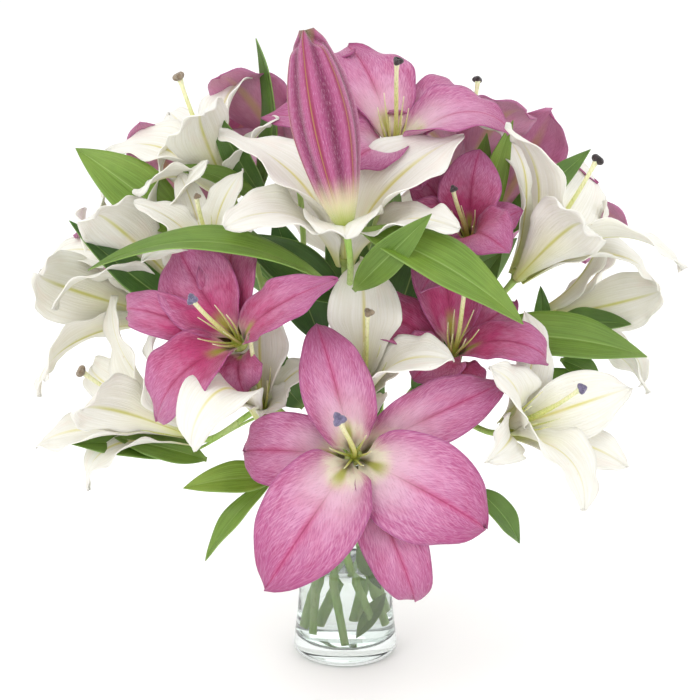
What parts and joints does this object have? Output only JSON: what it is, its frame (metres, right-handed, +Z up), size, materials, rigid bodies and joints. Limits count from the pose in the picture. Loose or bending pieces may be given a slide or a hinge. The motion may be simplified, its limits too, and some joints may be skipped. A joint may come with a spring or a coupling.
{
  "type": "lilies in a vase",
  "caption": "Full bunch of pink and white lilies with a tall bud and lance-shaped leaves, standing in a waisted clear glass vase of water.",
  "frame": {"origin": "centre of the vase's foot, on the surface that it stands on", "axes": "+Z up, -Y the front of the bunch, +X to the right of the front"},
  "size_m": [0.4547, 0.3742, 0.46],
  "materials": {
    "clear_glass": "polished",
    "water": "polished",
    "stem": "satin",
    "leaf": "satin",
    "pink_petal": "satin",
    "white_petal": "satin",
    "pistil": "satin"
  },
  "bodies": {
    "root": {"leaf_arching": "leaf", "leaf_behind_right": "leaf", "leaf_crown_left": "leaf", "leaf_drooping": "leaf", "leaf_high_left": "leaf", "leaf_left": "leaf", "leaf_low_left": "leaf", "leaf_low_right": "leaf", "leaf_middle": "leaf", "leaf_neck": "leaf", "leaf_right": "leaf", "leaf_stalk": "leaf", "leaf_upper_right": "leaf", "pink_bud": "pink_petal", "pink_lily_back_left_tepals": "pink_petal", "pink_lily_back_right_tepals": "pink_petal", "pink_lily_crown_pistil": "pistil", "pink_lily_crown_tepals": "pink_petal", "pink_lily_far_left_tepals": "pink_petal", "pink_lily_front_pistil": "pistil", "pink_lily_front_tepals": "pink_petal", "pink_lily_left_pistil": "pistil", "pink_lily_left_tepals": "pink_petal", "pink_lily_right_pistil": "pistil", "pink_lily_right_tepals": "pink_petal", "pink_lily_shaded_pistil": "pistil", "pink_lily_shaded_tepals": "pink_petal", "pink_lily_top_pistil": "pistil", "pink_lily_top_tepals": "pink_petal", "stem_back": "stem", "stem_back_left": "stem", "stem_back_right": "stem", "stem_front": "stem", "stem_front_right": "stem", "stem_left": "stem", "stem_middle": "stem", "stem_right": "stem", "vase": "clear_glass", "water": "water", "white_lily_back_tepals": "white_petal", "white_lily_far_left_pistil": "pistil", "white_lily_far_left_tepals": "white_petal", "white_lily_far_right_tepals": "white_petal", "white_lily_high_left_pistil": "pistil", "white_lily_high_left_tepals": "white_petal", "white_lily_left_pistil": "pistil", "white_lily_left_tepals": "white_petal", "white_lily_low_left_pistil": "pistil", "white_lily_low_left_tepals": "white_petal", "white_lily_low_middle_pistil": "pistil", "white_lily_low_middle_tepals": "white_petal", "white_lily_low_right_pistil": "pistil", "white_lily_low_right_tepals": "white_petal", "white_lily_middle_pistil": "pistil", "white_lily_middle_tepals": "white_petal", "white_lily_right_pistil": "pistil", "white_lily_right_tepals": "white_petal", "white_lily_small_pistil": "pistil", "white_lily_small_tepals": "white_petal", "white_lily_top_tepals": "white_petal"}
  },
  "joints": []
}
